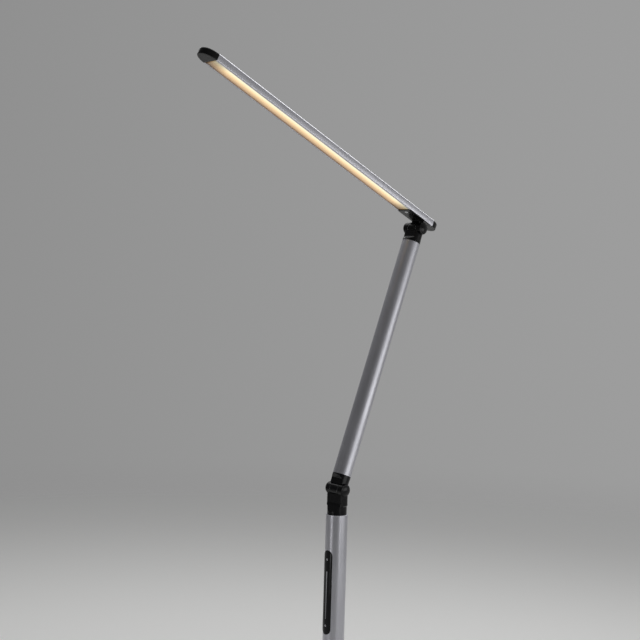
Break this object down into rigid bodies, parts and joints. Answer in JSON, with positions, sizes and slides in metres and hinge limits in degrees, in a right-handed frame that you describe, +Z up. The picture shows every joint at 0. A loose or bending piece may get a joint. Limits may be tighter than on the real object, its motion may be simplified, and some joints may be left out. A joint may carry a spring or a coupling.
{
  "type": "floor lamp",
  "caption": "Slim LED floor lamp: weighted round base, tubular post with touch dimmer, folding tubular arm and flat bar head, both on friction hinges.",
  "frame": {"origin": "on the floor under the post's axis, at the middle of the base's underside", "axes": "+X to the lamp's front (touch panel and lit bar), +Y along both hinge pins, +Z up"},
  "size_m": [0.4592, 0.26, 1.5056],
  "materials": {
    "satin_silver": "satin anodised, fine brushed grain",
    "base_silver": "fine silver powder coat",
    "black_metal": "semi-gloss black coat on a casting",
    "black_gloss": "polished black",
    "black_plastic": "fine moulded texture",
    "black_rubber": "matt",
    "plated_steel": "zinc plated",
    "cast_weight": "rough cast",
    "bush_bronze": "turned",
    "opal_diffuser": "opal, lit warm white",
    "led_phosphor": "phosphor",
    "white_board": "white solder mask",
    "green_board": "green solder mask",
    "lead_sheath": "smooth sheath",
    "pale_mark": "printed"
  },
  "bodies": {
    "stand": {"base_pad": "black_rubber", "base_weight": "cast_weight", "base_cover": "base_silver", "cord_gland": "black_rubber", "terminal_block": "black_plastic", "base_bolt": "plated_steel", "base_washer": "plated_steel", "post_foot_plug": "plated_steel", "base_collar": "black_plastic", "post_lower_tube": "satin_silver", "post_upper_tube": "satin_silver", "post_coupler": "plated_steel", "post_grub_screws": "plated_steel", "elbow_fork": "black_metal", "touch_panel": "black_gloss", "touch_marks": "pale_mark", "touch_board": "green_board", "touch_board_screws": "plated_steel", "dimmer_board": "green_board", "dimmer_components": "black_plastic", "touch_ribbon": "lead_sheath", "base_lead": "lead_sheath", "post_lead": "lead_sheath", "elbow_bolt": "plated_steel", "elbow_nut": "plated_steel", "elbow_washers": "plated_steel", "elbow_caps": "black_gloss"},
    "arm": {"arm_lower_fitting": "black_metal", "elbow_bush": "bush_bronze", "arm_tube": "satin_silver", "arm_lead": "lead_sheath", "arm_grub_screws": "plated_steel", "head_fork": "black_metal", "head_hinge_bolt": "plated_steel", "head_hinge_nut": "plated_steel", "head_hinge_washers": "plated_steel", "head_hinge_caps": "black_gloss"},
    "head": {"neck_mount": "black_metal", "head_bush": "bush_bronze", "backing_plate": "plated_steel", "neck_screws": "plated_steel", "head_profile": "satin_silver", "diffuser": "opal_diffuser", "led_board": "white_board", "led_chips": "led_phosphor", "head_lead": "lead_sheath", "tip_cap": "black_gloss", "rear_cap": "black_gloss"}
  },
  "joints": [
    {"name": "elbow_hinge", "type": "hinge", "parent": "stand", "child": "arm", "pos_m": [0, 0, 0.9], "axis": [0, 1, 0], "range_deg": [-30, 100]},
    {"name": "head_hinge", "type": "hinge", "parent": "arm", "child": "head", "pos_m": [-0.14872, 0, 1.28744], "axis": [0, 1, 0], "range_deg": [-75, 62]}
  ]
}
